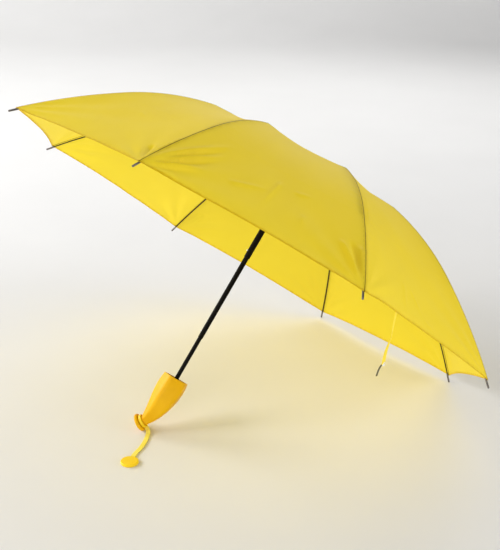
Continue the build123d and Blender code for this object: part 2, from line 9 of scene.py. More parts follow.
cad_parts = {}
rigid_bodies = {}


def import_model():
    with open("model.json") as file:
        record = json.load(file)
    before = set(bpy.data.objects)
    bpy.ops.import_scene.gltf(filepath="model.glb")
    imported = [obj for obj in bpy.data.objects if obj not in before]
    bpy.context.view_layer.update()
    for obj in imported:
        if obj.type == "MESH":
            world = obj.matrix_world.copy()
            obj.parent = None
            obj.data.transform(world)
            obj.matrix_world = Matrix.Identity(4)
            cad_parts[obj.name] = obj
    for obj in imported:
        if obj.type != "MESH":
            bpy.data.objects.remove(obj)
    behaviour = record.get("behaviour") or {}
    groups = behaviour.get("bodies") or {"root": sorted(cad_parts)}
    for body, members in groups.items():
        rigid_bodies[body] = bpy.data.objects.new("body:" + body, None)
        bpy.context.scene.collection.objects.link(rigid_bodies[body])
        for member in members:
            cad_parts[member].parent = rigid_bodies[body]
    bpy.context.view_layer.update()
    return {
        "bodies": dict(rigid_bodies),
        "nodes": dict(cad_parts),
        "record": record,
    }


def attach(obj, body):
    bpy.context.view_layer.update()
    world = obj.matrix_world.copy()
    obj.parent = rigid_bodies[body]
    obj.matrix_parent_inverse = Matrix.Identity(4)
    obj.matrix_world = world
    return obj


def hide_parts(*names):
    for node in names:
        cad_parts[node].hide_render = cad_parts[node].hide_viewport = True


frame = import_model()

# ---------------------------------------------------------------- where the umbrella lies
# The shaft's mount gives the umbrella's own frame: +Z up the shaft, Z = 0 at the canopy's corners.
MOUNT_BELOW_CORNERS = 0.090
mount = next(m for m in frame["record"]["mounts"] if m["name"] == "shaft")
shaft_up = -Vector(mount["axis"])
shaft_side = Vector((0, 1, 0)).cross(shaft_up)
corner_level = Vector(mount["pos_m"]) + shaft_up * MOUNT_BELOW_CORNERS
LAID = Matrix.Translation(corner_level) @ Matrix(
    (
        (shaft_side.x, 0, shaft_up.x),
        (shaft_side.y, 1, shaft_up.y),
        (shaft_side.z, 0, shaft_up.z),
    )
).to_4x4()

RIBS = 8
RIB_STEP = 2 * math.pi / RIBS
FIRST_RIB = RIB_STEP / 2

# Outer face of the canopy over a rib: three arcs of (radius, height) points, in metres.
PROFILE = (
    ((0.0062, 0.1950), (0.1000, 0.1938), (0.1920, 0.1860)),
    ((0.1920, 0.1860), (0.2724, 0.1570), (0.3460, 0.1130)),
    ((0.3460, 0.1130), (0.4153, 0.0592), (0.4800, 0.0000)),
)
FIRST_KNEE = 0.1905
SECOND_KNEE = 0.3434


def rib_azimuth(number):
    """Azimuth of rib 0 to 7 about the shaft."""
    return FIRST_RIB + number * RIB_STEP


# ---------------------------------------------------------------- camera, floor and light
CAMERA_PLACE = Vector((-1.20493, -1.54074, 1.0617))
CAMERA_FORWARD = Vector((0.57091, 0.72561, -0.38413))
CAMERA_ROLL = math.radians(0.66)
CAMERA_LENS = 77.58
CAMERA_SENSOR = 36

FLOOR_NEAR = 6.0
FLOOR_FAR = 3.2
FLOOR_HALF_WIDTH = 8
COVE_RADIUS = 1.2
COVE_STEPS = 12
WALL_HEIGHT = 5.0

# The lights that aim at the umbrella: name, place as for view_point, size, power in watts, colour.
UMBRELLA_MIDDLE = Vector((0.05, 0, 0.2))
WHITE = (1, 1, 1)
LIGHTS = (
    ("key", (3.4, -0.4, 2.0), 1.5, 71, (1, 0.985, 0.965)),
    ("far key", (3.4, 1.6, 1.5), 1.8, 84, (1, 1, 0.99)),
    ("front fill", (0.9, -3.2, 0.8), 2.0, 50, WHITE),
    ("right fill", (-3.2, -1.2, 1.3), 2.0, 50, WHITE),
    ("rim", (-0.8, 2.4, 1.6), 1.6, 16, WHITE),
)

# The light that washes the wall behind.
WASH_PLACE = (1.5, 1.8, 3.2)
WASH_TARGET = (1.0, 4.4, 1.6)
WASH_SIZE = 1.5
WASH_POWER = 44

WORLD_COLOUR = (0.95, 0.96, 1.0)
WORLD_STRENGTH = 0.276


def make_camera():
    """The photograph's viewpoint, from the handle's side and above."""
    camera = bpy.data.objects.new("camera", bpy.data.cameras.new("camera"))
    bpy.context.scene.collection.objects.link(camera)
    turn = CAMERA_FORWARD.to_track_quat("-Z", "Y").to_matrix() @ Matrix.Rotation(CAMERA_ROLL, 3, "Z")
    camera.matrix_world = Matrix.Translation(CAMERA_PLACE) @ turn.to_4x4()
    camera.data.sensor_width = CAMERA_SENSOR
    camera.data.lens = CAMERA_LENS
    camera.data.clip_end = 50
    bpy.context.scene.camera = camera


def area_light(name, place, target, size, power, colour):
    """A soft square light aimed at a point."""
    light = bpy.data.lights.new(name, "AREA")
    light.size = size
    light.energy = power
    light.color = colour
    holder = bpy.data.objects.new(name, light)
    bpy.context.scene.collection.objects.link(holder)
    holder.location = place
    holder.rotation_mode = "QUATERNION"
    holder.rotation_quaternion = (Vector(target) - Vector(place)).to_track_quat("-Z", "Y")


def view_point(left, far, up):
    """A point given as metres to the left of the view, away from the camera, and up."""
    away = Vector((CAMERA_FORWARD.x, CAMERA_FORWARD.y, 0)).normalized()
    to_left = Vector((-away.y, away.x, 0))
    return to_left * left + away * far + Vector((0, 0, up))


def make_floor():
    """A plain pale floor that curves up into a wall behind."""
    ground = bmesh.new()
    rows = [(-FLOOR_NEAR, 0.0), (FLOOR_FAR, 0.0)]
    for step in range(1, COVE_STEPS + 1):
        turn = step / COVE_STEPS * math.pi / 2
        rows.append((FLOOR_FAR + COVE_RADIUS * math.sin(turn), COVE_RADIUS * (1 - math.cos(turn))))
    rows.append((FLOOR_FAR + COVE_RADIUS, WALL_HEIGHT))
    edges = [
        [ground.verts.new(view_point(side * FLOOR_HALF_WIDTH, far, height)) for side in (1, -1)]
        for far, height in rows
    ]
    for low, high in zip(edges, edges[1:]):
        ground.faces.new((low[0], low[1], high[1], high[0]))
    mesh = bpy.data.meshes.new("floor")
    ground.to_mesh(mesh)
    mesh.polygons.foreach_set("use_smooth", [True] * len(mesh.polygons))
    floor = bpy.data.objects.new("floor", mesh)
    bpy.context.scene.collection.objects.link(floor)
    floor.data.materials.append(floor_material())


def make_stage():
    """The floor, soft lights, most of them on the left and above, and a dim pale world."""
    make_floor()
    for name, place, size, power, colour in LIGHTS:
        area_light(name, view_point(*place), UMBRELLA_MIDDLE, size, power, colour)
    area_light("wash", view_point(*WASH_PLACE), view_point(*WASH_TARGET), WASH_SIZE, WASH_POWER, WHITE)
    world = bpy.data.worlds.new("studio")
    world.use_nodes = True
    background = world.node_tree.nodes["Background"]
    background.inputs["Color"].default_value = (*WORLD_COLOUR, 1)
    background.inputs["Strength"].default_value = WORLD_STRENGTH
    bpy.context.scene.world = world
    bpy.context.scene.view_settings.view_transform = "Standard"


# ---------------------------------------------------------------- materials
def new_material(name):
    """An empty node material with its output and one Principled shader."""
    material = bpy.data.materials.new(name)
    material.use_nodes = True
    nodes = material.node_tree.nodes
    return material, nodes, material.node_tree.links, nodes["Principled BSDF"]


def noise_node(nodes, links, scale, detail=4.0, stretch=None):
    """Noise in object coordinates; stretch scales the axes first."""
    place = nodes.new("ShaderNodeTexCoord")
    source = place.outputs["Object"]
    if stretch:
        mapping = nodes.new("ShaderNodeMapping")
        mapping.inputs["Scale"].default_value = stretch
        links.new(source, mapping.inputs["Vector"])
        source = mapping.outputs["Vector"]
    texture = nodes.new("ShaderNodeTexNoise")
    texture.inputs["Scale"].default_value = scale
    texture.inputs["Detail"].default_value = detail
    links.new(source, texture.inputs["Vector"])
    return texture


def ramp_node(nodes, links, source, stops):
    """A colour ramp over the given (position, colour) stops."""
    ramp = nodes.new("ShaderNodeValToRGB")
    while len(ramp.color_ramp.elements) < len(stops):
        ramp.color_ramp.elements.new(0.5)
    for element, (position, colour) in zip(ramp.color_ramp.elements, stops):
        element.position = position
        element.color = (*colour, 1)
    links.new(source, ramp.inputs["Fac"])
    return ramp


def bump_node(nodes, links, height, strength, distance, below=None):
    """A bump from a height, on top of another bump if given."""
    bump = nodes.new("ShaderNodeBump")
    bump.inputs["Strength"].default_value = strength
    bump.inputs["Distance"].default_value = distance
    links.new(height, bump.inputs["Height"])
    if below:
        links.new(below.outputs["Normal"], bump.inputs["Normal"])
    return bump


def floor_material():
    """Matt pale paper."""
    material, nodes, links, shader = new_material("studio_paper")
    grain = noise_node(nodes, links, 3.0)
    stops = ((0.3, (0.74, 0.735, 0.725)), (0.7, (0.76, 0.755, 0.745)))
    shade = ramp_node(nodes, links, grain.outputs["Fac"], stops)
    links.new(shade.outputs["Color"], shader.inputs["Base Color"])
    shader.inputs["Roughness"].default_value = 0.7
    shader.inputs["Specular IOR Level"].default_value = 0.25
    return material


def math_node(nodes, links, operation, first, second):
    """A math node on two sources."""
    node = nodes.new("ShaderNodeMath")
    node.operation = operation
    links.new(first, node.inputs[0])
    links.new(second, node.inputs[1])
    return node.outputs["Value"]


def times_node(nodes, links, first, second):
    """Two colours multiplied; the second may be three numbers."""
    node = nodes.new("ShaderNodeVectorMath")
    node.operation = "MULTIPLY"
    links.new(first, node.inputs[0])
    if isinstance(second, tuple):
        node.inputs[1].default_value = second
    else:
        links.new(second, node.inputs[1])
    return node.outputs["Vector"]


def grey(value):
    """A neutral colour."""
    return (value, value, value)


def edge_shade_and_stitches(nodes, links):
    """A dark line over each seam, which is painted shade of the black rib behind the cloth; darker in the
    folded hem; and a line of stitches beside each.
    """
    edges = nodes.new("ShaderNodeUVMap")
    edges.uv_map = "edges"
    parts = nodes.new("ShaderNodeSeparateXYZ")
    links.new(edges.outputs["UV"], parts.inputs["Vector"])
    # Painted shade: the rib behind each seam is drawn into the colour as a dark line.
    seam = ramp_node(
        nodes, links, parts.outputs["X"],
        (
            (0.0, (0.20, 0.15, 0.07)), (0.028, (0.32, 0.26, 0.12)),
            (0.048, (0.95, 0.95, 0.92)), (0.17, grey(1)),
        ),
    )
    hem = ramp_node(
        nodes, links, parts.outputs["Y"],
        (
            (0.0, (0.80, 0.78, 0.66)), (0.04, (0.96, 0.95, 0.90)),
            (0.18, (0.99, 0.99, 0.98)), (0.22, grey(1)),
        ),
    )
    weave = nodes.new("ShaderNodeUVMap")
    weave.uv_map = "weave"
    dash = nodes.new("ShaderNodeTexWave")
    dash.bands_direction = "DIAGONAL"
    dash.inputs["Scale"].default_value = 42.0
    links.new(weave.outputs["UV"], dash.inputs["Vector"])
    thread = ramp_node(nodes, links, dash.outputs["Fac"], ((0.35, grey(0)), (0.5, grey(1))))
    lines = []
    for output, place in (("X", 0.15), ("Y", 0.17)):
        stops = ((place - 0.03, grey(0)), (place, grey(1)), (place + 0.03, grey(0)))
        lines.append(ramp_node(nodes, links, parts.outputs[output], stops).outputs["Color"])
    both = math_node(nodes, links, "MAXIMUM", lines[0], lines[1])
    stitch = math_node(nodes, links, "MULTIPLY", both, thread.outputs["Color"])
    stitch_tone = ramp_node(nodes, links, stitch, ((0.2, grey(1)), (0.8, (0.80, 0.76, 0.66))))
    shade = times_node(nodes, links, seam.outputs["Color"], hem.outputs["Color"])
    return times_node(nodes, links, shade, stitch_tone.outputs["Color"]), stitch


def fabric_material(name, dark, light, through, share, edged=True):
    """Thin woven polyester: a fine weave, slight sheen, and light that shines through."""
    material, nodes, links, shader = new_material(name)
    cloud = noise_node(nodes, links, 9.0, 3.0)
    tone = ramp_node(nodes, links, cloud.outputs["Fac"], ((0.3, dark), (0.7, light)))
    colour, passing = tone.outputs["Color"], None
    if edged:
        # The cloth's colour takes the painted rib shade over the seams, the darker hem and the stitches.
        # The light that passes through is dimmed there too.
        shade, stitch = edge_shade_and_stitches(nodes, links)
        colour = times_node(nodes, links, colour, shade)
        passing = times_node(nodes, links, shade, through)
    links.new(colour, shader.inputs["Base Color"])
    shader.inputs["Roughness"].default_value = 0.52
    shader.inputs["Sheen Weight"].default_value = 0.05
    shader.inputs["Sheen Roughness"].default_value = 0.4
    shader.inputs["Specular IOR Level"].default_value = 0.22
    weave = nodes.new("ShaderNodeTexCoord")
    threads = []
    for axis in ("X", "Y"):
        wave = nodes.new("ShaderNodeTexWave")
        wave.wave_type = "BANDS"
        wave.bands_direction = axis
        wave.inputs["Scale"].default_value = 420.0
        wave.inputs["Distortion"].default_value = 0.4
        links.new(weave.outputs["UV"], wave.inputs["Vector"])
        threads.append(wave.outputs["Fac"])
    cross = math_node(nodes, links, "MULTIPLY", threads[0], threads[1])
    crinkle = noise_node(nodes, links, 40.0, 2.0)
    low = bump_node(nodes, links, crinkle.outputs["Fac"], 0.12, 0.0010)
    if edged:
        low = bump_node(nodes, links, stitch, 0.4, 0.0004, low)
    bump = bump_node(nodes, links, cross, 0.25, 0.00012, low)
    links.new(bump.outputs["Normal"], shader.inputs["Normal"])
    glow = nodes.new("ShaderNodeBsdfTranslucent")
    glow.inputs["Color"].default_value = (*through, 1)
    if passing:
        links.new(passing, glow.inputs["Color"])
    links.new(bump.outputs["Normal"], glow.inputs["Normal"])
    mix = nodes.new("ShaderNodeMixShader")
    mix.inputs["Fac"].default_value = share
    links.new(shader.outputs["BSDF"], mix.inputs[1])
    links.new(glow.outputs["BSDF"], mix.inputs[2])
    links.new(mix.outputs["Shader"], nodes["Material Output"].inputs["Surface"])
    return material


def metal_material(name, colour, worn, roughness, metallic=1.0, gloss=0.5):
    """Metal with fine drawing lines and slight wear."""
    material, nodes, links, shader = new_material(name)
    grain = noise_node(nodes, links, 180.0, 3.0)
    tone = ramp_node(nodes, links, grain.outputs["Fac"], ((0.4, colour), (0.75, worn)))
    links.new(tone.outputs["Color"], shader.inputs["Base Color"])
    shine = noise_node(nodes, links, 60.0)
    spread = ramp_node(
        nodes, links, shine.outputs["Fac"],
        ((0.3, (roughness - 0.06,) * 3), (0.7, (roughness + 0.08,) * 3)),
    )
    links.new(spread.outputs["Color"], shader.inputs["Roughness"])
    shader.inputs["Metallic"].default_value = metallic
    shader.inputs["Specular IOR Level"].default_value = gloss
    bump = bump_node(nodes, links, grain.outputs["Fac"], 0.15, 0.0002)
    links.new(bump.outputs["Normal"], shader.inputs["Normal"])
    return material


def plastic_material(name, dark, light, roughness, glow=0.0, gloss=0.32):
    """Moulded plastic with faint flow marks and a fine texture."""
    material, nodes, links, shader = new_material(name)
    cloud = noise_node(nodes, links, 30.0, 2.0)
    tone = ramp_node(nodes, links, cloud.outputs["Fac"], ((0.35, dark), (0.7, light)))
    links.new(tone.outputs["Color"], shader.inputs["Base Color"])
    scuff = noise_node(nodes, links, 140.0, 4.0)
    spread = ramp_node(
        nodes, links, scuff.outputs["Fac"],
        ((0.35, (roughness - 0.05,) * 3), (0.7, (roughness + 0.1,) * 3)),
    )
    links.new(spread.outputs["Color"], shader.inputs["Roughness"])
    shader.inputs["Specular IOR Level"].default_value = gloss
    shader.inputs["Subsurface Weight"].default_value = glow
    shader.inputs["Subsurface Radius"].default_value = (0.006, 0.004, 0.001)
    shader.inputs["Subsurface Scale"].default_value = 1.0
    grain = noise_node(nodes, links, 900.0, 2.0)
    bump = bump_node(nodes, links, grain.outputs["Fac"], 0.12, 0.0001)
    links.new(bump.outputs["Normal"], shader.inputs["Normal"])
    return material


# ---------------------------------------------------------------- canopy
CANOPY_COLUMNS = 96
CANOPY_ROW_LENGTH = 0.004

# The hem is a second layer under the edge; between two corners it curves in towards the crown.
HEM_ROWS = 2
HEM_WIDTH = 0.004
HEM_GAP = 0.0005
HEM_INSET = 0.0085
HEM_INSET_FROM = 0.25

# A panel sags between its ribs, less near the crown and near the hem.
PANEL_SAG = 0.007
SAG_GROWS_OVER = 0.20
SAG_AT_HEM = 0.55
SAG_EASES_OVER = 0.12

EDGE_BAND = 0.020        # the seam's and hem's shading reaches this far in
FREE_FROM_SEAM = 0.035   # where the cloth is free of its seam
HELD_BESIDE_RIB = 0.0065
TENSION_HEIGHT = 0.0013
TENSION_REACH = 0.13
PUCKER_HEIGHT = 0.00055
PUCKER_REACH = 0.018
RIPPLE_HEIGHT = 0.0020
CRINKLE_HEIGHT = 0.0006
KNEE_RIDGE = 0.0003
RIDGE_WIDTH = 0.004

# The cloth passes from one rib link to the next within this distance of the knee.
KNEE_BLEND = 0.008
CROWN_HELD = (0.010, 0.020)

# Single folds: panel, start and end as (across, down) from the panel's middle and the crown, then
# width and height.  The long ones run out from a tight corner; the others are packing creases.
FOLDS = (
    (4, (-0.182, 0.530), (-0.084, 0.364), 0.0046, 0.0060),
    (4, (-0.182, 0.531), (-0.086, 0.384), 0.0046, -0.0058),
    (4, (-0.181, 0.531), (-0.082, 0.403), 0.0044, 0.0068),
    (4, (-0.179, 0.530), (-0.086, 0.430), 0.0046, -0.0056),
    (4, (-0.176, 0.528), (-0.094, 0.466), 0.0044, 0.0056),
    (4, (-0.174, 0.529), (-0.110, 0.490), 0.0042, -0.0034),
    (4, (-0.066, 0.468), (-0.004, 0.428), 0.0032, 0.0028),
    (4, (0.002, 0.388), (-0.010, 0.502), 0.0030, 0.0023),
    (4, (0.026, 0.401), (0.056, 0.385), 0.0030, 0.0023),
    (4, (0.055, 0.446), (0.059, 0.480), 0.0030, 0.0019),
    (4, (0.118, 0.452), (0.178, 0.528), 0.0038, 0.0044),
    (4, (0.134, 0.440), (0.179, 0.529), 0.0040, -0.0040),
    (4, (0.149, 0.440), (0.180, 0.530), 0.0038, 0.0038),
    (3, (0.140, 0.480), (0.176, 0.528), 0.0046, -0.0050),
    (3, (0.152, 0.420), (0.178, 0.520), 0.0040, 0.0040),
    (3, (-0.028, 0.388), (0.010, 0.405), 0.0028, 0.0012),
    (5, (-0.096, 0.290), (-0.134, 0.398), 0.0036, 0.0028),
    (5, (-0.044, 0.450), (-0.060, 0.524), 0.0028, 0.0013),
    (5, (-0.026, 0.455), (-0.002, 0.514), 0.0028, 0.0013),
    (5, (-0.006, 0.508), (0.036, 0.522), 0.0028, 0.0012),
    (6, (-0.150, 0.470), (-0.178, 0.528), 0.0046, 0.0036),
    (0, (0.140, 0.460), (0.176, 0.528), 0.0046, -0.0036),
)


def arc_samples(start, middle, end, count):
    """Evenly spaced points along the arc through three points, without its first point."""
    (x1, z1), (x2, z2), (x3, z3) = start, middle, end
    sides = np.array(((x2 - x1, z2 - z1), (x3 - x1, z3 - z1))) * 2
    squares = np.array((x2**2 - x1**2 + z2**2 - z1**2, x3**2 - x1**2 + z3**2 - z1**2))
    centre = np.linalg.solve(sides, squares)
    radius = math.hypot(x1 - centre[0], z1 - centre[1])
    first = math.atan2(z1 - centre[1], x1 - centre[0])
    last = math.atan2(z3 - centre[1], x3 - centre[0])
    turns = np.linspace(first, last, count + 1)[1:]
    return [(centre[0] + radius * math.cos(t), centre[1] + radius * math.sin(t)) for t in turns]


def profile_rows():
    """(radius, height) down a rib, from the crown to the hem."""
    rows = [PROFILE[0][0]]
    for start, middle, end in PROFILE:
        chord = math.hypot(end[0] - start[0], end[1] - start[1])
        rows += arc_samples(start, middle, end, round(chord / CANOPY_ROW_LENGTH))
    return rows


def row_downs(rows):
    """Length of the profile from the crown to each row."""
    downs = [0.0]
    for before, after in zip(rows, rows[1:]):
        downs.append(downs[-1] + math.hypot(after[0] - before[0], after[1] - before[1]))
    return downs


def smooth_step(value, low, high):
    """0 below low, 1 above high, smooth between."""
    share = min(1.0, max(0.0, (value - low) / (high - low)))
    return share * share * (3 - 2 * share)


def crease(distance, width):
    """A soft ridge of height 1 over a line."""
    return math.exp(-((distance / width) ** 2))


def tension_folds(across, up, corner_side, half_width, panel):
    """Folds that fan out from one lower corner of a panel; across and up are in metres."""
    run = half_width - across * corner_side
    distance = math.hypot(run, up)
    angle = math.atan2(up, run)
    fade = math.exp(-distance / TENSION_REACH) * smooth_step(distance, 0.004, 0.05)
    wave = math.sin(angle * 11 + panel * 1.7 + corner_side)
    return TENSION_HEIGHT * fade * wave


def seam_puckers(side_distance, along, panel):
    """Small gathers where the stitching draws the seam up."""
    wave = math.sin(along * 330 + panel * 2.1) + 0.6 * math.sin(along * 530 + panel)
    wander = 0.5 + noise.noise(Vector((along * 9, panel * 3.3, 0.7)))
    fade = math.exp(-side_distance / PUCKER_REACH) * smooth_step(side_distance, 0, 0.005)
    return PUCKER_HEIGHT * wave * max(0.0, wander) * fade


def single_folds(across, down, panel):
    """The height of the folds in FOLDS at a point of a panel; each fades out towards its ends."""
    height = 0.0
    for number, start, end, width, rise in FOLDS:
        if number != panel:
            continue
        run = (end[0] - start[0], end[1] - start[1])
        reach = (across - start[0], down - start[1])
        square = run[0] ** 2 + run[1] ** 2
        along = min(1.0, max(0.0, (reach[0] * run[0] + reach[1] * run[1]) / square))
        off = math.hypot(reach[0] - along * run[0], reach[1] - along * run[1])
        fade = smooth_step(along, 0.0, 0.15) * (1 - smooth_step(along, 0.40, 1.0))
        height += rise * crease(off, width) * fade
    return height


def ripple(across, down, panel):
    """Soft unevenness of a stretched panel, in metres."""
    spot = Vector((across * 7 + panel * 5.3, down * 5, panel * 1.9))
    fine = Vector((across * 24, down * 9 + panel * 7.7, 4.0))
    return RIPPLE_HEIGHT * noise.noise(spot) + CRINKLE_HEIGHT * noise.noise(fine)


def panel_point(number, share, row, rows, downs):
    """A point of panel number, share 0 to 1 from its first rib to its second, in the umbrella's frame."""
    radius, height = rows[row]
    down = downs[row]
    first, second = rib_azimuth(number), rib_azimuth(number + 1)
    middle = (first + second) / 2
    outward = Vector((math.cos(middle), math.sin(middle), 0))
    sideways = Vector((-math.sin(middle), math.cos(middle), 0))
    half_width = radius * math.sin(RIB_STEP / 2)
    across = (2 * share - 1) * half_width
    before, after = rows[max(0, row - 1)], rows[min(len(rows) - 1, row + 1)]
    slope = Vector(((after[0] - before[0]) * math.cos(RIB_STEP / 2), 0, after[1] - before[1])).normalized()
    normal_out, normal_up = -slope.z, slope.x
    bulge = 1 - (2 * share - 1) ** 2
    total = downs[-1]
    up = total - down
    sag = -PANEL_SAG * bulge * smooth_step(down, 0.0, SAG_GROWS_OVER)
    sag *= SAG_AT_HEM + (1 - SAG_AT_HEM) * smooth_step(up, 0.0, SAG_EASES_OVER)
    side_distance = half_width - abs(across)
    free = smooth_step(side_distance, 0.0, FREE_FROM_SEAM)
    lift = sag + free * ripple(across, down, number) * smooth_step(down, 0.01, 0.08)
    lift += seam_puckers(side_distance, down, number) * smooth_step(down, 0.03, 0.08)
    for side in (-1, 1):
        lift += tension_folds(across, up, side, half_width, number) * smooth_step(side_distance, 0.0, 0.01)
    for knee in (FIRST_KNEE, SECOND_KNEE):
        lift += KNEE_RIDGE * free * crease(down - downs[row_at(rows, knee)], RIDGE_WIDTH)
    lift += single_folds(across, down, number) * smooth_step(side_distance, 0.0, 0.006)
    inset = HEM_INSET * bulge * smooth_step(down, HEM_INSET_FROM, total)
    radial = radius * math.cos(RIB_STEP / 2) - slope.x * inset
    return (
        outward * (radial + normal_out * lift) + sideways * across
        + Vector((0, 0, height - slope.z * inset + normal_up * lift))
    )


def row_at(rows, radius):
    """The first row at or beyond a radius."""
    return next(i for i, (r, _) in enumerate(rows) if r >= radius)


def rib_weights(radius):
    """Share of a point at this radius that each link of its rib carries."""
    crown = 1 - smooth_step(radius, *CROWN_HELD)
    middle = smooth_step(radius, FIRST_KNEE - KNEE_BLEND, FIRST_KNEE + KNEE_BLEND)
    outer = smooth_step(radius, SECOND_KNEE - KNEE_BLEND, SECOND_KNEE + KNEE_BLEND)
    return {
        "frame_top": crown,
        "top_rib": (1 - crown) * (1 - middle),
        "middle_rib": middle * (1 - outer),
        "outer_rib": outer,
    }


def body_shares(number, share, radius):
    """Body name to weight, for a point between rib number and the next.

    A rib holds a band of cloth beside it, so that the closed cover folds clear of the rib's links.
    """
    held = min(HELD_BESIDE_RIB / (2 * radius * math.sin(RIB_STEP / 2)), 0.25)
    share = min(1.0, max(0.0, (share - held) / (1 - 2 * held)))
    shares = {}
    for rib, part in ((number % RIBS, 1 - share), ((number + 1) % RIBS, share)):
        for link, weight in rib_weights(radius).items():
            body = link if link == "frame_top" else f"{link}_{rib + 1}"
            shares[body] = shares.get(body, 0) + part * weight
    return {body: weight for body, weight in shares.items() if weight > 1e-5}


def make_body_rig():
    """One bone for each body that carries fabric; a bone copies its body's place."""
    data = bpy.data.armatures.new("fabric_rig")
    rig = bpy.data.objects.new("fabric_rig", data)
    bpy.context.scene.collection.objects.link(rig)
    bpy.context.view_layer.objects.active = rig
    bpy.ops.object.mode_set(mode="EDIT")
    links = ("top_rib", "middle_rib", "outer_rib")
    carried = ["frame_top"] + [f"{link}_{number + 1}" for link in links for number in range(RIBS)]
    for body in carried:
        bone = data.edit_bones.new(body)
        bone.head = (0, 0, 0)
        bone.tail = (0, 1, 0)
    bpy.ops.object.mode_set(mode="OBJECT")
    for body in carried:
        follow = rig.pose.bones[body].constraints.new("COPY_TRANSFORMS")
        follow.target = frame["bodies"][body]
    return rig


def follow_ribs(piece, rig, shares):
    """The piece bends with the ribs: shares holds one dict of body weights for each vertex."""
    for body in sorted({body for one in shares for body in one}):
        piece.vertex_groups.new(name=body)
    for index, one in enumerate(shares):
        for body, weight in one.items():
            piece.vertex_groups[body].add((index,), weight, "REPLACE")
    bend = piece.modifiers.new("follow ribs", "ARMATURE")
    bend.object = rig
    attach(piece, "frame_top")


def make_canopy(rig, material):
    """The whole cover as one sheet: eight panels that share their seams, with a folded hem."""
    rows = profile_rows()
    downs = row_downs(rows)
    columns = RIBS * CANOPY_COLUMNS
    edge = len(rows) - 1
    step = round(HEM_WIDTH / CANOPY_ROW_LENGTH)
    # The profile row that each row of the mesh lies on; the hem's rows run back from the edge.
    levels = list(range(len(rows))) + [edge - step * row for row in range(HEM_ROWS)]
    points, shares = [], []
    for row, level in enumerate(levels):
        for column in range(columns):
            number, part = divmod(column, CANOPY_COLUMNS)
            share = part / CANOPY_COLUMNS
            point = panel_point(number, share, level, rows, downs)
            if row > len(rows):
                point -= Vector((0, 0, HEM_GAP))
            points.append(LAID @ point)
            shares.append(body_shares(number, share, rows[level][0]))
    faces, corners = [], []
    for row in range(len(levels) - 1):
        if row == edge:
            continue
        for column in range(columns):
            beside = (column + 1) % columns
            a, b = row * columns + column, row * columns + beside
            faces.append((a, b, b + columns, a + columns))
            part = column % CANOPY_COLUMNS
            corners += [(row, part), (row, part + 1), (row + 1, part + 1), (row + 1, part)]
    mesh = bpy.data.meshes.new("canopy_cover")
    mesh.from_pydata([tuple(p) for p in points], [], faces)
    mesh.polygons.foreach_set("use_smooth", [True] * len(faces))
    weave, edges = mesh.uv_layers.new(name="weave"), mesh.uv_layers.new(name="edges")
    for index, (row, part) in enumerate(corners):
        down, half_width = downs[levels[row]], rows[levels[row]][0] * math.sin(RIB_STEP / 2)
        across = (2 * part / CANOPY_COLUMNS - 1) * half_width
        weave.data[index].uv = (across, down)
        beside_seam = min(1.0, (half_width - abs(across)) / EDGE_BAND)
        edges.data[index].uv = (beside_seam, min(1.0, (downs[-1] - down) / EDGE_BAND))
    piece = bpy.data.objects.new("canopy_cover", mesh)
    bpy.context.scene.collection.objects.link(piece)
    piece.data.materials.append(material)
    follow_ribs(piece, rig, shares)
    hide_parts("canopy")


# ---------------------------------------------------------------- straps
STRAP_ROUTE = (
    (-0.2146, 0.0110, 0.0087),
    (-0.2172, -0.0006, 0.0056),
    (-0.2217, -0.0073, 0.0026),
    (-0.2327, -0.0179, 0.0018),
    (-0.2444, -0.0285, 0.0018),
    (-0.2598, -0.0395, 0.0018),
    (-0.2739, -0.0462, 0.0018),
    (-0.2862, -0.0558, 0.0018),
)
STRAP_WIDTH = 0.0075
STRAP_THICKNESS = 0.0018
STRAP_FACE_AT_RING = Vector((-0.5, -0.75, 0.45)).normalized()


def read_route(route):
    """Points along the smooth curve that the route's points shape."""
    data = bpy.data.curves.new("strap_line", "CURVE")
    data.dimensions = "3D"
    data.resolution_u = 16
    line = data.splines.new("NURBS")
    line.points.add(len(route) - 1)
    for point, place in zip(line.points, route):
        point.co = (*place, 1)
    line.order_u = 3
    line.use_endpoint_u = True
    holder = bpy.data.objects.new("strap_line", data)
    sampled = bpy.data.meshes.new_from_object(holder)
    path = [v.co.copy() for v in sampled.vertices]
    bpy.data.objects.remove(holder)
    return path


# A flat band's section, in halves of its width and thickness, with slightly crowned faces.
BAND_OUTLINE = (
    (-1, -1), (-0.92, -1.15), (0.92, -1.15), (1, -1), (1, 1), (0.92, 1.15), (-0.92, 1.15), (-1, 1),
)


def ribbon_mesh(name, path, width, thickness, flat_of):
    """A flat band along a path; flat_of gives the band's face direction at a share of its length."""
    band = bmesh.new()
    rings = []
    last = len(path) - 1
    for index, place in enumerate(path):
        along = (path[min(last, index + 1)] - path[max(0, index - 1)]).normalized()
        face = flat_of(index / last)
        face = (face - along * face.dot(along)).normalized()
        side = along.cross(face)
        rings.append([
            band.verts.new(place + side * x * width / 2 + face * y * thickness / 2) for x, y in BAND_OUTLINE
        ])
    for one, two in zip(rings, rings[1:]):
        for k in range(len(one)):
            band.faces.new((one[k], one[(k + 1) % len(one)], two[(k + 1) % len(one)], two[k]))
    band.faces.new(rings[0][::-1])
    band.faces.new(rings[-1])
    bmesh.ops.recalc_face_normals(band, faces=band.faces)
    mesh = bpy.data.meshes.new(name)
    band.to_mesh(mesh)
    piece = bpy.data.objects.new(name, mesh)
    bpy.context.scene.collection.objects.link(piece)
    return piece


def make_wrist_strap(material):
    """A flat moulded tape from the ring at the handle's neck to its disc on the ground."""
    path = read_route(STRAP_ROUTE)
    flat = Vector((0, 0, 1))
    piece = ribbon_mesh(
        "wrist_tape", path, STRAP_WIDTH, STRAP_THICKNESS,
        lambda share: STRAP_FACE_AT_RING.lerp(flat, smooth_step(share, 0.1, 0.5)),
    )
    piece.data.materials.append(material)
    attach(piece, "lower_tube")
    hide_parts("wrist_strap")


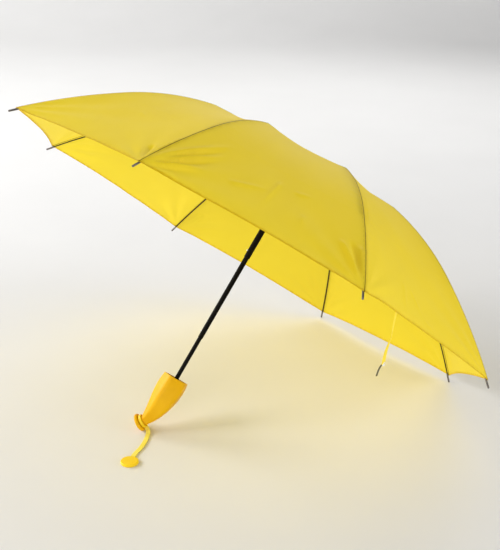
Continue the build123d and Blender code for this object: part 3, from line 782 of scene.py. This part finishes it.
# The closing strap, as offsets from its place on the hem.
TIE_PANEL = 5
TIE_SHARE = 0.24
TIE_LINE = (
    (0.0, 0.0, 0.0), (-0.0025, 0.0020, -0.0200), (-0.0043, 0.0034, -0.0410), (-0.0063, 0.0049, -0.0490),
    (-0.0105, 0.0083, -0.0700), (-0.0112, 0.0088, -0.0840),
)
TAB_LINE = ((-0.0113, 0.0090, -0.0835), (-0.0161, 0.0127, -0.0890), (-0.0184, 0.0145, -0.1043))
TIE_WIDTH = 0.012
TAB_WIDTH = 0.0036
TAB_THICKNESS = 0.0012
TIE_FLAT_LENGTH = 0.085
TIE_COLUMNS = 6
TIE_CROWN = 0.0012
TIE_TWIST = math.radians(-34)
SNAP_RADIUS = 0.0034
SNAP_THICKNESS = 0.0022
SNAP_STEPS = 28
# The press stud's section, as (share of radius, share of thickness).
SNAP_OUTLINE = (
    (0.0, 0.35), (0.45, 0.35), (0.6, 0.6), (0.8, 0.7), (0.95, 0.55), (1.0, 0.2),
    (1.0, -0.3), (0.9, -0.5), (0.0, -0.5),
)


def make_closing_tie(rig, cloth, tab_material, snap_material):
    """A strip of the cover's cloth that hangs from the hem, with a snap and a short dark tab."""
    rows = profile_rows()
    downs = row_downs(rows)
    hem = LAID @ panel_point(TIE_PANEL, TIE_SHARE, len(rows) - 1, rows, downs)
    shares = body_shares(TIE_PANEL, TIE_SHARE, rows[-1][0])
    line = read_route([tuple(hem + Vector(offset)) for offset in TIE_LINE])
    edge_on = Vector((CAMERA_FORWARD.x, CAMERA_FORWARD.y, 0)).normalized()
    turned = Matrix.Rotation(TIE_TWIST, 3, "Z") @ edge_on
    points, places, faces = [], [], []
    for index, place in enumerate(line):
        down = index / (len(line) - 1)
        across = edge_on.lerp(turned, smooth_step(down, 0.1, 0.8)).normalized()
        crown = across.cross(Vector((0, 0, 1)))
        for column in range(TIE_COLUMNS + 1):
            side = column / TIE_COLUMNS - 0.5
            points.append(place + across * side * TIE_WIDTH + crown * TIE_CROWN * math.cos(side * math.pi))
            places.append((side * TIE_WIDTH, down * TIE_FLAT_LENGTH))
    wide = TIE_COLUMNS + 1
    for row in range(len(line) - 1):
        for column in range(TIE_COLUMNS):
            a = row * wide + column
            faces.append((a, a + 1, a + 1 + wide, a + wide))
    mesh = bpy.data.meshes.new("closing_tie")
    mesh.from_pydata([tuple(p) for p in points], [], faces)
    mesh.polygons.foreach_set("use_smooth", [True] * len(faces))
    weave = mesh.uv_layers.new(name="weave")
    for loop in mesh.loops:
        weave.data[loop.index].uv = places[loop.vertex_index]
    tie = bpy.data.objects.new("closing_tie", mesh)
    bpy.context.scene.collection.objects.link(tie)

    tab_path = read_route([tuple(hem + Vector(offset)) for offset in TAB_LINE])
    face = turned.cross(Vector((0, 0, 1)))
    tab = ribbon_mesh("tie_tab", tab_path, TAB_WIDTH, TAB_THICKNESS, lambda share: face)
    snap = snap_mesh("tie_snap", hem + Vector(TIE_LINE[-1]), face)
    for piece, material, node, slot in (
        (tie, cloth, "closing_strap", "fabric"),
        (tab, tab_material, "strap_tab", "dark_plastic"),
        (snap, snap_material, None, "white_plastic"),
    ):
        piece.data.materials.append(material)
        follow_ribs(piece, rig, [shares] * len(piece.data.vertices))
        if node:
            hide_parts(node)


def snap_mesh(name, centre, face):
    """A round press stud with a rolled edge and a dimple."""
    turn = face.to_track_quat("Z", "Y").to_matrix()
    stud = bmesh.new()
    rings = []
    for radius, height in SNAP_OUTLINE:
        ring = []
        for step in range(SNAP_STEPS if radius else 1):
            angle = 2 * math.pi * step / SNAP_STEPS
            outward = Vector((math.cos(angle), math.sin(angle), 0)) * radius * SNAP_RADIUS
            ring.append(stud.verts.new(centre + turn @ (outward + Vector((0, 0, height * SNAP_THICKNESS)))))
        rings.append(ring)
    for one, two in zip(rings, rings[1:]):
        for k in range(SNAP_STEPS):
            around = ((one, k), (one, k + 1), (two, k + 1), (two, k))
            corners = [ring[step % len(ring)] for ring, step in around]
            stud.faces.new(list(dict.fromkeys(corners)))
    bmesh.ops.recalc_face_normals(stud, faces=stud.faces)
    mesh = bpy.data.meshes.new(name)
    stud.to_mesh(mesh)
    mesh.polygons.foreach_set("use_smooth", [True] * len(mesh.polygons))
    piece = bpy.data.objects.new(name, mesh)
    bpy.context.scene.collection.objects.link(piece)
    return piece


# ---------------------------------------------------------------- making
make_camera()
make_stage()

cloth_tones = (0.82, 0.62, 0.006), (0.86, 0.66, 0.010), (0.98, 0.79, 0.072)
yellow_cloth = fabric_material("yellow_polyester", *cloth_tones, 0.45)
tie_tones = (0.82, 0.64, 0.03), (0.86, 0.69, 0.05), (0.98, 0.80, 0.10)
tie_cloth = fabric_material("tie_polyester", *tie_tones, 0.4, edged=False)
yellow_plastic = plastic_material("yellow_plastic", (0.75, 0.395, 0.0), (0.81, 0.45, 0.0), 0.46, gloss=0.18)
disc_plastic = plastic_material("disc_plastic", (0.86, 0.58, 0.006), (0.90, 0.64, 0.012), 0.42, glow=0.12)
strap_plastic = plastic_material("strap_plastic", (0.93, 0.76, 0.10), (0.95, 0.80, 0.15), 0.42, glow=0.2)
white_plastic = plastic_material("white_plastic", (0.85, 0.85, 0.83), (0.9, 0.9, 0.88), 0.4, glow=0.1)
black_plastic = plastic_material("black_plastic", (0.02, 0.02, 0.021), (0.035, 0.035, 0.036), 0.45)
tab_plastic = plastic_material("tab_webbing", (0.10, 0.09, 0.05), (0.16, 0.15, 0.09), 0.6)

# Enamel hides the metal, so these two reflect as paint does.
black_tones = (0.002, 0.0015, 0.001), (0.005, 0.004, 0.003)
black_metal = metal_material("black_enamel", *black_tones, 0.55, metallic=0.0, gloss=0.08)
rib_tones = (0.008, 0.007, 0.006), (0.024, 0.022, 0.02)
rib_metal = metal_material("rib_enamel", *rib_tones, 0.45, metallic=0.0, gloss=0.2)
tip_metal = metal_material("tip_nickel", (0.20, 0.18, 0.16), (0.10, 0.09, 0.08), 0.4, metallic=0.6)
bright_metal = metal_material("plated_steel", (0.62, 0.62, 0.63), (0.48, 0.48, 0.50), 0.26)

rig = make_body_rig()
make_canopy(rig, yellow_cloth)
make_wrist_strap(strap_plastic)
make_closing_tie(rig, tie_cloth, tab_plastic, white_plastic)

# Each row names the starts of names, so runner stands for runner_wire too.
FINISHES = (
    (("upper_tube", "middle_tube", "lower_tube"), black_metal),
    (("top_rib", "middle_rib", "outer_rib", "stretcher"), rib_metal),
    (("rib_tip",), tip_metal),
    (("crown_wire", "middle_button", "lower_button"), bright_metal),
    (("crown_hub", "crown_cap", "runner", "top_catch", "handle_core"), black_plastic),
    (("handle_shell",), yellow_plastic),
    (("strap_ring", "strap_disc"), disc_plastic),
)
for name, node in frame["nodes"].items():
    for stems, material in FINISHES:
        if name.startswith(stems):
            node.data.materials.clear()
            node.data.materials.append(material)
